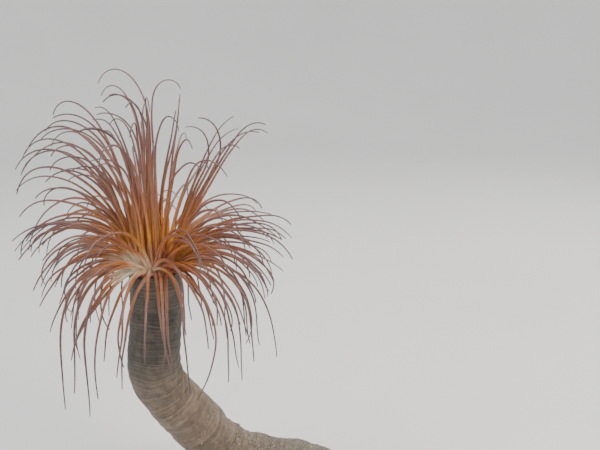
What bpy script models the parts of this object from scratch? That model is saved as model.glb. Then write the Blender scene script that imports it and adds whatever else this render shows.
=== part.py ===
"""Tube anemone (order Ceriantharia) at life size, as a still model.

An upright tube of felted mucus and sand slants away at its foot and lies along the floor in an
open loop. The animal's column stands in the mouth of the tube and carries an oral disc with a slit
mouth, a tuft of short labial tentacles and a crown of long marginal tentacles, which is divided
into eight sectors of the disc's margin.

Metres, +Z up, floor at z = 0, +Y away from the viewer. The origin is on the flat underside of the
tube, where its bend has just come level.
"""
import math
import random
from collections import namedtuple

import bmesh
import bpy
from mathutils import Matrix, Vector

# Clearance between neighbouring pieces, and the distance under which points are one
GAP = 0.0003
WELD = 0.00001

# Tube: route from the rim down to the floor and then along it, as stretches of (length, degrees
# turned towards level, degrees turned round the vertical), and its outer radius along that route
ROUTE_HEADING = 38.0
DESCENT = ((0.014, 0.0, 0.0), (0.026, -6.0, 0.0), (0.032, 0.0, 0.0), (0.034, 42.0, 0.0),
           (0.074, 0.0, 0.0), (0.066, 54.0, -50.0))
LYING = ((0.020, 0.0, -10.0), (0.070, 0.0, -50.0), (0.120, -2.0, -115.0), (0.124, -1.0, -50.0))
ROUTE_STEP = 0.001
TUBE_RADII = ((0.0, 0.0203), (0.030, 0.0203), (0.085, 0.0206), (0.160, 0.0224), (0.390, 0.0218),
              (0.520, 0.0178), (0.580, 0.0140))
UNDERSIDE_FLAT = 0.0045        # how deep the floor flattens the lying tube
TUBE_SIDES = 20
TUBE_RING_SPACING = 0.011
TUBE_WAVE = 0.012              # slow swellings, as a share of the radius
TUBE_WAVE_LENGTH = 0.037
END_ROUNDING = 0.013            # the closed end is rounded over this length
END_RINGS = 4
END_TURN = 80.0                # degrees that the rounding turns before its small flat cap
TUBE_LENGTHS = (("tube_upper", 0.070, "felt"), ("tube_middle", 0.160, "felt"),
                ("tube_bend", 0.262, "sandy_felt"), ("tube_lying_near", 0.372, "sandy_felt"),
                ("tube_lying_far", 0.478, "sandy_felt"), ("tube_end", 0.580, "sandy_felt"))

# Mouth of the tube
WALL = 0.0020
MOUTH_DEPTH = 0.012
LIP = 0.0006

# Column and oral disc, heights above the tube's rim
COLUMN_R = 0.0177
COLUMN_NECK = -0.0008          # where the column starts to flare
COLUMN_TOP_R = 0.0195
COLUMN_TOP = 0.0027
COLUMN_EDGE = 0.0012
DISC_R = 0.0142
DISC_BOTTOM = COLUMN_TOP + GAP
DISC_EDGE = 0.0070
GROOVE_IN = 0.0052             # the labial ring sits in this groove of the disc
GROOVE_OUT = 0.0121
GROOVE_FLOOR = 0.0040
LIP_TOP = 0.0074               # a raised lip rings the mouth
LIP_R = 0.0022
LIP_OUT = 0.0040
LIP_FALL = 0.0004
LIP_HOLLOW = 0.0010
MOUTH_LENGTH = 0.0074
MOUTH_WIDTH = 0.0018
MOUTH_DROP = 0.0026
MOUTH_ANGLE = 25.0
TURNED_STEPS = 24

# Labial tentacles: short ones in two rings round the mouth
LABIAL_RING_TOP = 0.0062
LABIAL_RINGS = ((12, 0.0071, 78.0), (18, 0.0100, 84.0))    # how many, root radius, rise
LABIAL_LENGTH = (0.026, 0.040)
LABIAL_TURN_BACK = 1.6         # share of its lean that a tentacle turns back through by its tip
LABIAL_SPACING_DRAW = 0.2
LABIAL_RISE_DRAW = 3.0
LABIAL_ROOT_R = 0.0011
LABIAL_TIP_R = 0.0004
LABIAL_STATIONS = (0.0, 0.35, 0.70, 1.0)
LABIAL_SINK = 0.0012

# Margin of the disc, in eight sectors
MARGIN_IN = DISC_R + GAP
MARGIN_OUT = 0.0218
MARGIN_BOTTOM = DISC_BOTTOM
MARGIN_TOP = 0.0085
MARGIN_STEPS = 4
SECTORS = ("right", "back_right", "back", "back_left", "left", "front_left", "front", "front_right")
SECTOR_ANGLE = 45.0
# The crown is shorter on the viewer's side and reaches further at the left: shares of the full
# length in the upright cycle and in the others, 1 where none are given
SECTOR_SHARES = {"left": (1.0, 1.13), "back_left": (1.0, 1.10), "front_left": (0.94, 0.94),
                 "front": (0.80, 0.80), "front_right": (0.92, 0.92)}

# Marginal tentacles of one sector, from the inner upright cycle to the outer hanging one. asides
# are places across the sector from -1 to 1, rise is degrees above level at the root, droop the
# degrees turned down by the tip, power how late that turn comes, and curl the tip's own turn.
Cycle = namedtuple("Cycle", "asides root_r root_z rise droop power curl length")
CYCLES = (
    Cycle((-0.85, -0.05, 0.75), 0.0166, 0.0072, (76, 90), (10, 40), 2.0, (60, 140), (0.144, 0.170)),
    Cycle((-0.45, 0.35, 0.95), 0.0180, 0.0076, (60, 79), (78, 108), 2.4, (20, 70), (0.124, 0.152)),
    Cycle((-0.95, -0.15, 0.60), 0.0193, 0.0070, (26, 56), (90, 120), 1.4, (10, 40), (0.086, 0.112)),
    Cycle((-0.60, 0.15, 0.85), 0.0203, 0.0058, (-12, 20), (76, 88), 0.45, (0, 10), (0.090, 0.125)),
)
TENTACLE_ROOT_R = 0.0017
TENTACLE_TIP_R = 0.00045
TENTACLE_TAPER = 0.85
TENTACLE_STATIONS = (0.0, 0.18, 0.38, 0.56, 0.72, 0.84, 0.93, 1.0)
TENTACLE_SWAY = 0.18           # how far a tentacle swings aside, as a share of half its sector
SWAY_TURNS = 0.7
TIP_FROM = 0.78                # where along its length a tentacle's tip begins to curl
TIP_POWER = 1.5
ROOT_SINK = 0.0030
PATH_STEPS = 60
SEED = 7

PI2 = 2.0 * math.pi

COLOURS = {
    "felt": ((0.085, 0.082, 0.069), 0.90),
    "sandy_felt": ((0.190, 0.150, 0.112), 0.90),
    "column": ((0.200, 0.105, 0.080), 0.42),
    "oral_disc": ((0.420, 0.135, 0.050), 0.42),
    "labial": ((0.580, 0.250, 0.050), 0.40),
    "marginal": ((0.370, 0.160, 0.054), 0.42),
}


def clear_scene():
    for obj in list(bpy.data.objects):
        bpy.data.objects.remove(obj, do_unlink=True)


def new_collection(name):
    collection = bpy.data.collections.new(name)
    bpy.context.scene.collection.children.link(collection)
    return collection


def material(name):
    colour, roughness = COLOURS[name]
    mat = bpy.data.materials.get(name)
    if mat is None:
        mat = bpy.data.materials.new(name)
        mat.use_nodes = True
        shader = mat.node_tree.nodes["Principled BSDF"]
        shader.inputs["Base Color"].default_value = (*colour, 1.0)
        shader.inputs["Roughness"].default_value = roughness
        shader.inputs["Metallic"].default_value = 0.0
    return mat


def add_object(name, mesh, collection, mat=None):
    obj = bpy.data.objects.new(name, mesh)
    if mat is not None:
        mesh.materials.clear()
        mesh.materials.append(mat)
    collection.objects.link(obj)
    return obj


def smooth(mesh, angle=40.0):
    mesh.shade_smooth()
    mesh.set_sharp_from_angle(angle=math.radians(angle))


def cutter(name, mesh, collection):
    obj = add_object(name, mesh, collection)
    obj.hide_render = True
    obj.display_type = "WIRE"
    return obj


def evaluated_mesh(obj):
    """Mesh of an object or curve with its modifiers applied."""
    depsgraph = bpy.context.evaluated_depsgraph_get()
    return bpy.data.meshes.new_from_object(obj.evaluated_get(depsgraph))


def face_outward(mesh, merge=None):
    """Turn a closed mesh's faces outward, after merging points closer than a distance."""
    bm = bmesh.new()
    bm.from_mesh(mesh)
    if merge is not None:
        bmesh.ops.remove_doubles(bm, verts=bm.verts, dist=merge)
    bmesh.ops.recalc_face_normals(bm, faces=bm.faces)
    bm.to_mesh(mesh)
    bm.free()


def loft(name, rings):
    """Closed mesh through rings of equally many points, with a flat cap at each end."""
    sides = len(rings[0])
    points = [tuple(point) for ring in rings for point in ring]
    faces = []
    for row in range(len(rings) - 1):
        for side in range(sides):
            here = row * sides + side
            ahead = row * sides + (side + 1) % sides
            faces.append((here, ahead, ahead + sides, here + sides))
    faces.append(tuple(range(sides)))
    faces.append(tuple(range((len(rings) - 1) * sides, len(rings) * sides)))
    mesh = bpy.data.meshes.new(name)
    mesh.from_pydata(points, [], faces)
    face_outward(mesh)
    return mesh


def turned(name, profile, collection, mat):
    """Solid of revolution about its own Z from (radius, height) points, outer side downward."""
    mesh = bpy.data.meshes.new(name)
    points = [(radius, 0.0, height) for radius, height in profile]
    edges = [(number, number + 1) for number in range(len(points) - 1)]
    if profile[0][0] > 0.0:
        edges.append((len(points) - 1, 0))
    mesh.from_pydata(points, edges, [])
    obj = add_object(name, mesh, collection, mat)
    screw = obj.modifiers.new("turn", "SCREW")
    screw.axis = "Z"
    screw.steps = TURNED_STEPS
    screw.render_steps = TURNED_STEPS
    screw.use_merge_vertices = True
    screw.merge_threshold = WELD
    screw.use_smooth_shade = True
    return obj


def walk_route():
    """Centre line of the tube as (point, pitch from straight down, heading) every ROUTE_STEP."""
    point = Vector((0.0, 0.0, 0.0))
    pitch = 0.0
    heading = math.radians(ROUTE_HEADING)
    stations = [(point.copy(), pitch, heading)]
    for length, level, turn in DESCENT + LYING:
        steps = round(length / ROUTE_STEP)
        for _ in range(steps):
            pitch += math.radians(level) / steps
            heading += math.radians(turn) / steps
            point = point + route_direction(pitch, heading) * ROUTE_STEP
            stations.append((point.copy(), pitch, heading))
    return stations


def route_direction(pitch, heading):
    flat = math.sin(pitch)
    return Vector((flat * math.cos(heading), flat * math.sin(heading), -math.cos(pitch)))


def tube_radius(along):
    for (near, near_r), (far, far_r) in zip(TUBE_RADII, TUBE_RADII[1:]):
        if along <= far:
            part = (along - near) / (far - near)
            ease = part * part * (3.0 - 2.0 * part)
            radius = near_r + (far_r - near_r) * ease
            break
    else:
        radius = TUBE_RADII[-1][1]
    return radius * (1.0 + TUBE_WAVE * math.sin(PI2 * along / TUBE_WAVE_LENGTH))


def route_at(along):
    """Point, pitch and heading of the centre line at a distance from the rim."""
    place = min(along / ROUTE_STEP, len(STATIONS) - 1.001)
    index = int(place)
    part = place - index
    before, after = STATIONS[index], STATIONS[index + 1]
    point = before[0].lerp(after[0], part)
    pitch = before[1] + (after[1] - before[1]) * part
    heading = before[2] + (after[2] - before[2]) * part
    return point, pitch, heading


STATIONS = walk_route()
LEVEL_AT = sum(length for length, level, turn in DESCENT)
LEVEL_POINT = route_at(LEVEL_AT)[0]
LEVEL_HEIGHT = tube_radius(LEVEL_AT) - UNDERSIDE_FLAT
RIM = Vector((-LEVEL_POINT.x, -LEVEL_POINT.y, LEVEL_HEIGHT - LEVEL_POINT.z))


def tube_ring(along, radius):
    """Ring round the centre line at a distance from the rim, flattened where it meets the floor."""
    point, pitch, heading = route_at(along)
    across = Vector((-math.sin(heading), math.cos(heading), 0.0))
    upward = across.cross(route_direction(pitch, heading))
    ring = []
    for side in range(TUBE_SIDES):
        angle = PI2 * side / TUBE_SIDES
        spot = RIM + point + (across * math.cos(angle) + upward * math.sin(angle)) * radius
        spot.z = max(spot.z, 0.0)
        ring.append(spot)
    return ring


def tube_rings(start, end):
    count = max(2, round((end - start) / TUBE_RING_SPACING) + 1)
    rings = []
    for index in range(count):
        along = start + (end - start) * index / (count - 1)
        rings.append(tube_ring(along, tube_radius(along)))
    return rings


def mouth_rings():
    """Inside of the tube's mouth, from the recess floor up to the lip."""
    inner = TUBE_RADII[0][1] - WALL
    lip_r = TUBE_RADII[0][1] - WALL / 2.0
    floor_ring = tube_ring(MOUTH_DEPTH, inner)
    wall_ring = tube_ring(LIP, inner)
    lip_ring = [spot + Vector((0.0, 0.0, LIP)) for spot in tube_ring(0.0, lip_r)]
    return [floor_ring, wall_ring, lip_ring]


def end_rings(start):
    """Rounded closed end of the tube."""
    rings = []
    for index in range(1, END_RINGS + 1):
        angle = math.radians(END_TURN) * index / END_RINGS
        along = start + END_ROUNDING * math.sin(angle)
        rings.append(tube_ring(along, tube_radius(start) * math.cos(angle)))
    return rings


def build_tube(collection):
    start = 0.0
    for name, cut, felt in TUBE_LENGTHS:
        if name == TUBE_LENGTHS[0][0]:
            rings = mouth_rings() + tube_rings(start, cut - GAP)
        elif name == TUBE_LENGTHS[-1][0]:
            rings = tube_rings(start, cut - END_ROUNDING) + end_rings(cut - END_ROUNDING)
        else:
            rings = tube_rings(start, cut - GAP)
        mesh = loft(name, rings)
        smooth(mesh)
        add_object(name, mesh, collection, material(felt))
        start = cut


def build_column(collection):
    bottom = GAP - MOUTH_DEPTH
    profile = ((0.0, COLUMN_TOP), (COLUMN_TOP_R, COLUMN_TOP), (COLUMN_TOP_R, COLUMN_TOP - COLUMN_EDGE),
               (COLUMN_R, COLUMN_NECK), (COLUMN_R, bottom), (0.0, bottom))
    column = turned("column", profile, collection, material("column"))
    column.location = RIM


def mouth_slit(collection):
    bm = bmesh.new()
    bmesh.ops.create_uvsphere(bm, u_segments=16, v_segments=8, radius=1.0)
    size = Matrix.Diagonal((MOUTH_LENGTH / 2.0, MOUTH_WIDTH / 2.0, MOUTH_DROP, 1.0))
    bmesh.ops.transform(bm, matrix=size, verts=bm.verts)
    mesh = bpy.data.meshes.new("mouth_slit")
    bm.to_mesh(mesh)
    bm.free()
    slit = cutter("mouth_slit", mesh, collection)
    slit.location = RIM + Vector((0.0, 0.0, LIP_TOP))
    slit.rotation_euler = (0.0, 0.0, math.radians(MOUTH_ANGLE))
    return slit


def build_oral_disc(collection, cutters):
    """Disc with a lip round its mouth and a groove in which the labial ring lies."""
    profile = ((0.0, LIP_TOP - LIP_HOLLOW), (LIP_R, LIP_TOP), (LIP_OUT, LIP_TOP - LIP_FALL),
               (GROOVE_IN, LABIAL_RING_TOP), (GROOVE_IN, GROOVE_FLOOR), (GROOVE_OUT, GROOVE_FLOOR),
               (GROOVE_OUT, LABIAL_RING_TOP + GAP), (DISC_R, DISC_EDGE), (DISC_R, DISC_BOTTOM),
               (0.0, DISC_BOTTOM))
    disc = turned("oral_disc", profile, collection, material("oral_disc"))
    disc.location = RIM
    cut = disc.modifiers.new("mouth", "BOOLEAN")
    cut.operation = "DIFFERENCE"
    cut.object = mouth_slit(cutters)


def wedge_point(middle, radius, height, aside, clear):
    """Point in a sector whose middle is at an angle; aside runs from -1 to 1 across its width."""
    room = math.radians(SECTOR_ANGLE) / 2.0 - math.asin((clear + GAP / 2.0) / radius)
    angle = middle + aside * room
    return RIM + Vector((radius * math.cos(angle), radius * math.sin(angle), height))


def margin_block(middle):
    """The sector's length of the disc's rounded margin."""
    width = MARGIN_OUT - MARGIN_IN
    height = MARGIN_TOP - MARGIN_BOTTOM
    outline = ((0.0, 0.0), (0.70, 0.0), (0.94, 0.20), (1.0, 0.52), (0.88, 0.86), (0.58, 1.0),
               (0.18, 0.92), (0.0, 0.70))
    rings = []
    for step in range(MARGIN_STEPS + 1):
        aside = -1.0 + 2.0 * step / MARGIN_STEPS
        rings.append([wedge_point(middle, MARGIN_IN + width * part_r, MARGIN_BOTTOM + height * part_z,
                                  aside, 0.0) for part_r, part_z in outline])
    return loft("margin", rings)


def tapered_rod(name, points, radii):
    """Closed mesh of a tapering round rod along points, from a curve with filled caps."""
    curve = bpy.data.curves.new(name, "CURVE")
    curve.dimensions = "3D"
    curve.bevel_depth = 1.0
    curve.bevel_resolution = 1
    curve.use_fill_caps = True
    spline = curve.splines.new("POLY")
    spline.points.add(len(points) - 1)
    for place, point, radius in zip(spline.points, points, radii):
        place.co = (*point, 1.0)
        place.radius = radius
    rod = bpy.data.objects.new(name, curve)
    bpy.context.scene.collection.objects.link(rod)
    mesh = evaluated_mesh(rod)
    bpy.data.objects.remove(rod, do_unlink=True)
    face_outward(mesh, WELD)
    return mesh


def along_path(path, stations):
    """Points of an evenly stepped path at shares of its length."""
    last = len(path) - 1
    points = []
    for share in stations:
        place = min(share * last, last - 0.0001)
        index = int(place)
        points.append(path[index].lerp(path[index + 1], place - index))
    return points


def radius_at(share, root, tip, taper):
    return root + (tip - root) * share ** taper


def marginal_tentacle(middle, cycle, aside, reach, draw):
    """One marginal tentacle: it rises from the margin, arches over and curls at its tip."""
    rise = draw.uniform(*cycle.rise)
    droop = draw.uniform(*cycle.droop)
    curl = draw.uniform(*cycle.curl)
    length = draw.uniform(*cycle.length) * reach
    sway = draw.uniform(-TENTACLE_SWAY, TENTACLE_SWAY)
    start = math.radians(rise)
    radius = cycle.root_r - ROOT_SINK * math.cos(start)
    height = cycle.root_z - ROOT_SINK * math.sin(start)
    step = (length + ROOT_SINK) / PATH_STEPS
    path = []
    for index in range(PATH_STEPS + 1):
        share = index / PATH_STEPS
        thick = radius_at(share, TENTACLE_ROOT_R, TENTACLE_TIP_R, TENTACLE_TAPER)
        place = max(-1.0, min(1.0, aside + sway * math.sin(PI2 * SWAY_TURNS * share)))
        path.append(wedge_point(middle, radius, height, place, thick))
        tip = max(0.0, (share - TIP_FROM) / (1.0 - TIP_FROM)) ** TIP_POWER
        slope = math.radians(rise - droop * share ** cycle.power - curl * tip)
        radius += step * math.cos(slope)
        height += step * math.sin(slope)
    radii = [radius_at(share, TENTACLE_ROOT_R, TENTACLE_TIP_R, TENTACLE_TAPER)
             for share in TENTACLE_STATIONS]
    return tapered_rod("tentacle", along_path(path, TENTACLE_STATIONS), radii)


def labial_ring(collection):
    """Ring of the disc that bears the labial tentacles, as a mesh in place."""
    inner = GROOVE_IN + GAP
    outer = GROOVE_OUT - GAP
    bottom = GROOVE_FLOOR + GAP
    profile = ((inner, LABIAL_RING_TOP), (outer, LABIAL_RING_TOP), (outer, bottom), (inner, bottom))
    ring = turned("labial_ring", profile, collection, material("labial"))
    mesh = evaluated_mesh(ring)
    bpy.data.objects.remove(ring, do_unlink=True)
    mesh.transform(Matrix.Translation(RIM))
    face_outward(mesh)
    return mesh


def labial_tentacle(root_r, angle, rise, length):
    """One short tentacle of the tuft: it leans out a little and then back to upright."""
    outward = Vector((math.cos(angle), math.sin(angle), 0.0))
    point = RIM + outward * root_r + Vector((0.0, 0.0, LABIAL_RING_TOP - LABIAL_SINK))
    step = length / PATH_STEPS
    path = []
    for index in range(PATH_STEPS + 1):
        share = index / PATH_STEPS
        path.append(point)
        slope = math.radians(rise + (90.0 - rise) * LABIAL_TURN_BACK * share)
        point = point + (outward * math.cos(slope) + Vector((0.0, 0.0, math.sin(slope)))) * step
    radii = [radius_at(share, LABIAL_ROOT_R, LABIAL_TIP_R, 1.0) for share in LABIAL_STATIONS]
    return tapered_rod("labial", along_path(path, LABIAL_STATIONS), radii)


def build_labial_tentacles(collection):
    draw = random.Random(SEED)
    meshes = [labial_ring(collection)]
    for count, root_r, rise in LABIAL_RINGS:
        for number in range(count):
            place = number + draw.uniform(-LABIAL_SPACING_DRAW, LABIAL_SPACING_DRAW)
            lean = rise + draw.uniform(-LABIAL_RISE_DRAW, LABIAL_RISE_DRAW)
            length = draw.uniform(*LABIAL_LENGTH)
            meshes.append(labial_tentacle(root_r, PI2 * place / count, lean, length))
    fuse("labial_tentacles", meshes, collection, material("labial"))


def largest_shell(mesh):
    """Keep the largest closed surface of a mesh."""
    bm = bmesh.new()
    bm.from_mesh(mesh)
    left = set(bm.faces)
    shells = []
    while left:
        shell = [left.pop()]
        for face in shell:
            for edge in face.edges:
                for other in edge.link_faces:
                    if other in left:
                        left.remove(other)
                        shell.append(other)
        shells.append(shell)
    shells.sort(key=len)
    spare = [face for shell in shells[:-1] for face in shell]
    bmesh.ops.delete(bm, geom=spare, context="FACES")
    bm.to_mesh(mesh)
    bm.free()


def fuse(name, meshes, collection, mat):
    """Union of closed meshes as one object, with its modifier applied."""
    joining = new_collection("joining")
    for number, mesh in enumerate(meshes[1:]):
        add_object("%s_%d" % (name, number), mesh, joining)
    obj = add_object(name, meshes[0], collection, mat)
    union = obj.modifiers.new("union", "BOOLEAN")
    union.operation = "UNION"
    union.operand_type = "COLLECTION"
    union.collection = joining
    union.solver = "EXACT"
    fused = evaluated_mesh(obj)
    obj.modifiers.clear()
    obj.data = fused
    for piece in list(joining.objects):
        bpy.data.objects.remove(piece, do_unlink=True)
    bpy.data.collections.remove(joining)
    largest_shell(fused)
    fused.materials.clear()
    fused.materials.append(mat)
    smooth(fused)


def build_marginal_tentacles(collection):
    draw = random.Random(SEED)
    for number, place in enumerate(SECTORS):
        middle = math.radians(SECTOR_ANGLE) * number
        upright, others = SECTOR_SHARES.get(place, (1.0, 1.0))
        meshes = [margin_block(middle)]
        for cycle in CYCLES:
            reach = upright if cycle is CYCLES[0] else others
            for aside in cycle.asides:
                meshes.append(marginal_tentacle(middle, cycle, aside, reach, draw))
        fuse("marginal_tentacles_" + place, meshes, collection, material("marginal"))


if __name__ == "__main__":
    clear_scene()
    parts = new_collection("tube_anemone")
    cutters = new_collection("cutters")
    build_tube(parts)
    build_column(parts)
    build_oral_disc(parts, cutters)
    build_labial_tentacles(parts)
    build_marginal_tentacles(parts)
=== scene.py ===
# Looks of a tube anemone (order Ceriantharia) at life size. One skin covers the felted tube, one
# the column and oral disc, and the tentacles grow from it: short labial ones round the mouth and
# long marginal ones in several cycles. Metres, +Z up, floor at z = 0, +Y away from the viewer.
import math
import random
from collections import namedtuple

import bpy
import numpy as np
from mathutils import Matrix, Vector


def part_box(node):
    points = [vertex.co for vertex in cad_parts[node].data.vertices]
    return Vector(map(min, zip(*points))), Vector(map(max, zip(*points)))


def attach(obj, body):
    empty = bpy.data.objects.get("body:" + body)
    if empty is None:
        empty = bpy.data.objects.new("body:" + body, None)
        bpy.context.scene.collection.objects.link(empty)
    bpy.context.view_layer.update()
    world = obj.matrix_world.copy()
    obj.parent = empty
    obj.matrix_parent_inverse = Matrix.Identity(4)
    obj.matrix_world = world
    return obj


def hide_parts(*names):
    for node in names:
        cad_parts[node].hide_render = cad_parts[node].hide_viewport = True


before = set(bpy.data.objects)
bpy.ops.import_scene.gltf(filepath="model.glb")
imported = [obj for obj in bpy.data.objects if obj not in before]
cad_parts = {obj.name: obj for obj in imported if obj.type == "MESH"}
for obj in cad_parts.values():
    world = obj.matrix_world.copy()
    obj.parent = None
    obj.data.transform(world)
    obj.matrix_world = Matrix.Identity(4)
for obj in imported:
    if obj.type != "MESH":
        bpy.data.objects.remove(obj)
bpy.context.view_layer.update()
BODY = "root"
PI2 = 2.0 * math.pi
UP = np.array((0.0, 0.0, 1.0))

# Tube, with the route and the radii of the frame's solids. The route is given as stretches of
# (length, degrees turned towards level, degrees turned round the vertical).
COLUMN_TOP = 0.0027  # height of the column's upper face above the tube's rim
ROUTE_HEADING = 38.0
DESCENT = ((0.014, 0.0, 0.0), (0.026, -6.0, 0.0), (0.032, 0.0, 0.0), (0.034, 42.0, 0.0),
           (0.074, 0.0, 0.0), (0.066, 54.0, -50.0))
LYING = ((0.020, 0.0, -10.0), (0.070, 0.0, -50.0), (0.120, -2.0, -115.0), (0.124, -1.0, -50.0))
ROUTE_STEP = 0.001
TUBE_RADII = ((0.0, 0.0203), (0.030, 0.0203), (0.085, 0.0206), (0.160, 0.0224), (0.390, 0.0218),
              (0.520, 0.0178), (0.580, 0.0140))
TUBE_END = 0.580
END_ROUNDING = 0.013
END_TURN = 84.0  # degrees of its rounding, in so many rings
END_RINGS = 8
WALL = 0.0020
# the rolled lip of its mouth: distances below the rim, and shares of the wall's thickness
MOUTH_LIP = ((0.0117, 1.0), (0.0040, 1.0), (0.0014, 0.94), (0.0004, 0.72), (0.0, 0.45),
             (0.0002, 0.20), (0.0008, 0.05))
TUBE_SIDES = 120
FIRST_RING = 0.0016
FINE_STEP = 0.00045  # between its rings, and COARSE_STEP beyond FINE_TO
COARSE_STEP = 0.0010
FINE_TO = 0.200
CONCAVE = -math.pi / 2.0  # inner side of its bends
TUBE_LIE_R = 0.02  # where its patterns lie

# Relief of the felt. A wave is a sum of ripples: its height, how many they are, the most that go
# round the form, and their lengths along it.
Wave = namedtuple("Wave", "height count most_around lengths")
SWELLINGS = Wave(0.00042, 14, 5, (0.018, 0.060))
DENTS = Wave(0.00013, 16, 16, (0.004, 0.012))
STREAKS = Wave(0.00005, 14, 30, (0.020, 0.060))
SHRIVEL = Wave(0.0008, 10, 9, (0.050, 0.150))
SHRIVEL_FROM = 0.500  # from there the tube shrivels in folds
FRAY = Wave(0.0011, 9, 17, (1.0, 2.0))
FRAY_DEPTH = 0.008  # how far down the rim is ragged
BANDS = (-0.01, TUBE_END + 0.05)
BAND_WIDTH = (0.0021, 0.0040)  # of the growth bands
BAND_WAVE = Wave(0.0009, 10, 4, (0.020, 0.090))
# on the dark upper layer of felt, and how much more below it
BAND_BULGE = (0.00010, 0.00010)
GROOVE_DEPTH = (0.00008, 0.00012)
SWELLING_SHARES = (0.7, 0.8)
GROOVE_DRAW = (0.15, 1.0)
GROOVE_WIDTH = 0.00030
LIP_HEIGHT = 0.00006  # of the raised lip beside a groove
LIP_PLACE = 2.6  # in groove widths, as LIP_WIDTH is
LIP_WIDTH = 1.1
SLEEVE_END = 0.080  # where the dark upper layer of felt ends
SLEEVE_TILT = 0.006
SLEEVE_TURN = 0.3
SLEEVE_WAVE = Wave(0.0011, 8, 13, (1.0, 2.0))
SLEEVE_EDGE = 0.00045  # how sharply it ends
SLEEVE_LEDGE = 0.0005  # its thickness there
LEDGE_FROM = 0.050
LEDGE_OVER = 0.035
SLEEVE_FADE = 0.0052  # over so much its colour gives way
FADE_ABOVE = 0.001

# Fold of the felt on the inner side of the bends: where, how deep and wide, and how it leans
Crease = namedtuple("Crease", "along depth width lean")
CREASES = (Crease(0.079, 0.0029, 0.0034, 0.010), Crease(0.066, 0.0008, 0.0030, 0.006),
           Crease(0.092, 0.0013, 0.0036, 0.012), Crease(0.104, 0.0008, 0.0030, 0.008),
           Crease(0.172, 0.0012, 0.0040, 0.004))
CREASE_REACH = 1.25  # round the tube, in radians
RIDGE_HEIGHT = 0.45  # of the ridge beside a crease, as a share of its depth
RIDGE_PLACE = 1.9  # in crease widths, as RIDGE_WIDTH is
RIDGE_WIDTH = 1.3

# Sand and bits of shell stuck to the felt
GRAIN_TRIES = 16000
GRAINS_FROM = 0.112  # distance down the tube
GRAINS_OVER = 0.11  # over so much they grow in number
GRAINS_TO = TUBE_END - 0.004
PATCHES = Wave(0.60, 16, 9, (0.008, 0.050))
PATCH_MIDDLE = 0.35  # density between patch and bare place
LEAST = 0.03  # least of a density
FACES_DOWN = -0.45  # none where it faces down more, or so near the floor
FLOOR_CLEAR = 0.0015
GRAIN_SIZE = (0.00024, 0.00070)
GRAIN_FLAT = (0.55, 0.95)  # height as a share of the size
SHELL_SIZE = (0.0009, 0.0016)
SHELL_FLAT = 0.22
SHELL_SHARE = 0.012
GRAIN_SIDES = 6
GRAIN_RINGS = ((-0.55, 0.60), (0.05, 1.0), (0.62, 0.52))  # shares of the height and radius
GRAIN_DRAW = (0.72, 1.18)  # of a corner's radius, and of its height
UP_DRAW = 0.14
GRAIN_LEAN = 0.6
GRAIN_OUT = 0.25  # pushed out of the felt by this share of its height

# Crown: how steeply a tentacle rises in degrees, and its root's radius and height above the rim
MARGIN_SHAPE = ((-25.0, 0.0206, 0.0044), (0.0, 0.0204, 0.0054), (30.0, 0.0196, 0.0067),
                (58.0, 0.0184, 0.0075), (74.0, 0.0172, 0.0077), (90.0, 0.0155, 0.0072))
SINK = 0.0032  # how deep in the margin they start
SLOPE_AT = (0.10, 0.35, 0.60, 0.80, 0.96)
BEYOND = 0.4  # share of a slope's change that goes on at both ends
ARCH_STEPS = 400
SMOOTH_OVER = 45  # of those steps
ROOT_R = 0.00142
TIP_R = 0.00036
TAPER = 1.15
FLARE = 0.0009
FLARE_LENGTH = 0.0022
SWELL = 0.022  # faint swellings: share of the radius, and their lengths
SWELL_LENGTHS = ((0.011, 0.017), (0.005, 0.008))
BLUNT_FROM = 0.985  # share of the length where the tip rounds, and its further rings
TIP_SHARES = (0.990, 0.994, 0.998, 1.0)
TIP_LEFT = 0.03  # of its section at the end
SIDES = 12
RINGS = 84
SECTORS = ("right", "back_right", "back", "back_left", "left", "front_left", "front", "front_right")
SECTOR_ANGLE = 45.0
WANDER = (0.0014, 0.0021)  # sway of a traced and of another tentacle
WANDER_TURNS = (1.1, 2.3, 3.9)
WANDER_UP = 0.6  # share of the sway that goes up and down
CURL = (9.0, 26.0)  # how far they turn sideways at most, in degrees
HOOKED = 0.22  # share of the others whose tip curls, and by how much
HOOK = (20.0, 50.0)
RISING = 65.0  # cycles rise above this first slope, and arch above the next
ARCHING = 10.0
ALIKE = 14.0  # a traced one takes a place when its first slope is so near
PLACE_DRAW = 0.28  # share of the spacing by which a root is off its place
HEADING_DRAW = 12.0
SLOPE_DRAW = (0.20, 0.25)  # how freely the first slope varies, and each next one more
ROOT_DRAW = (0.84, 1.12)  # for the radii at the root and the tip
TIP_DRAW = (0.85, 1.25)

# The crown is parted at the front, where its arching tentacles turn to both sides and are shorter
# and its rising ones rise more steeply
FRONT = -90.0
PARTED_OVER = 70.0
PARTED_BY = 28.0
FRONT_SHARE = 0.96
FRONT_GAIN = 1.6  # how soon they are as short as that
STEEPER = (7, 14, 24, 28, 22)

# Traced tentacles stand in bundles: between these angles round the mouth each has a companion,
# which differs by up to so many degrees and is shorter
BUNDLED = ((34.0, 54.0), (118.0, 186.0))
BESIDE = {"shift": 7.0, "slope": 6.0, "root": 8.0, "heading": 9.0}
BESIDE_SHARE = (0.82, 0.96)

# It is low and open at the right: the angle, how many degrees to each side fully and at all, by
# how much the slopes of the rising cycles are less, and the share of their length left
LOW_AT = 8.0
LOW_OVER = (40.0, 64.0)
LOW_BY = (32, 60, 66, 46, 24)
LOW_SHARE = 0.67

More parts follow.
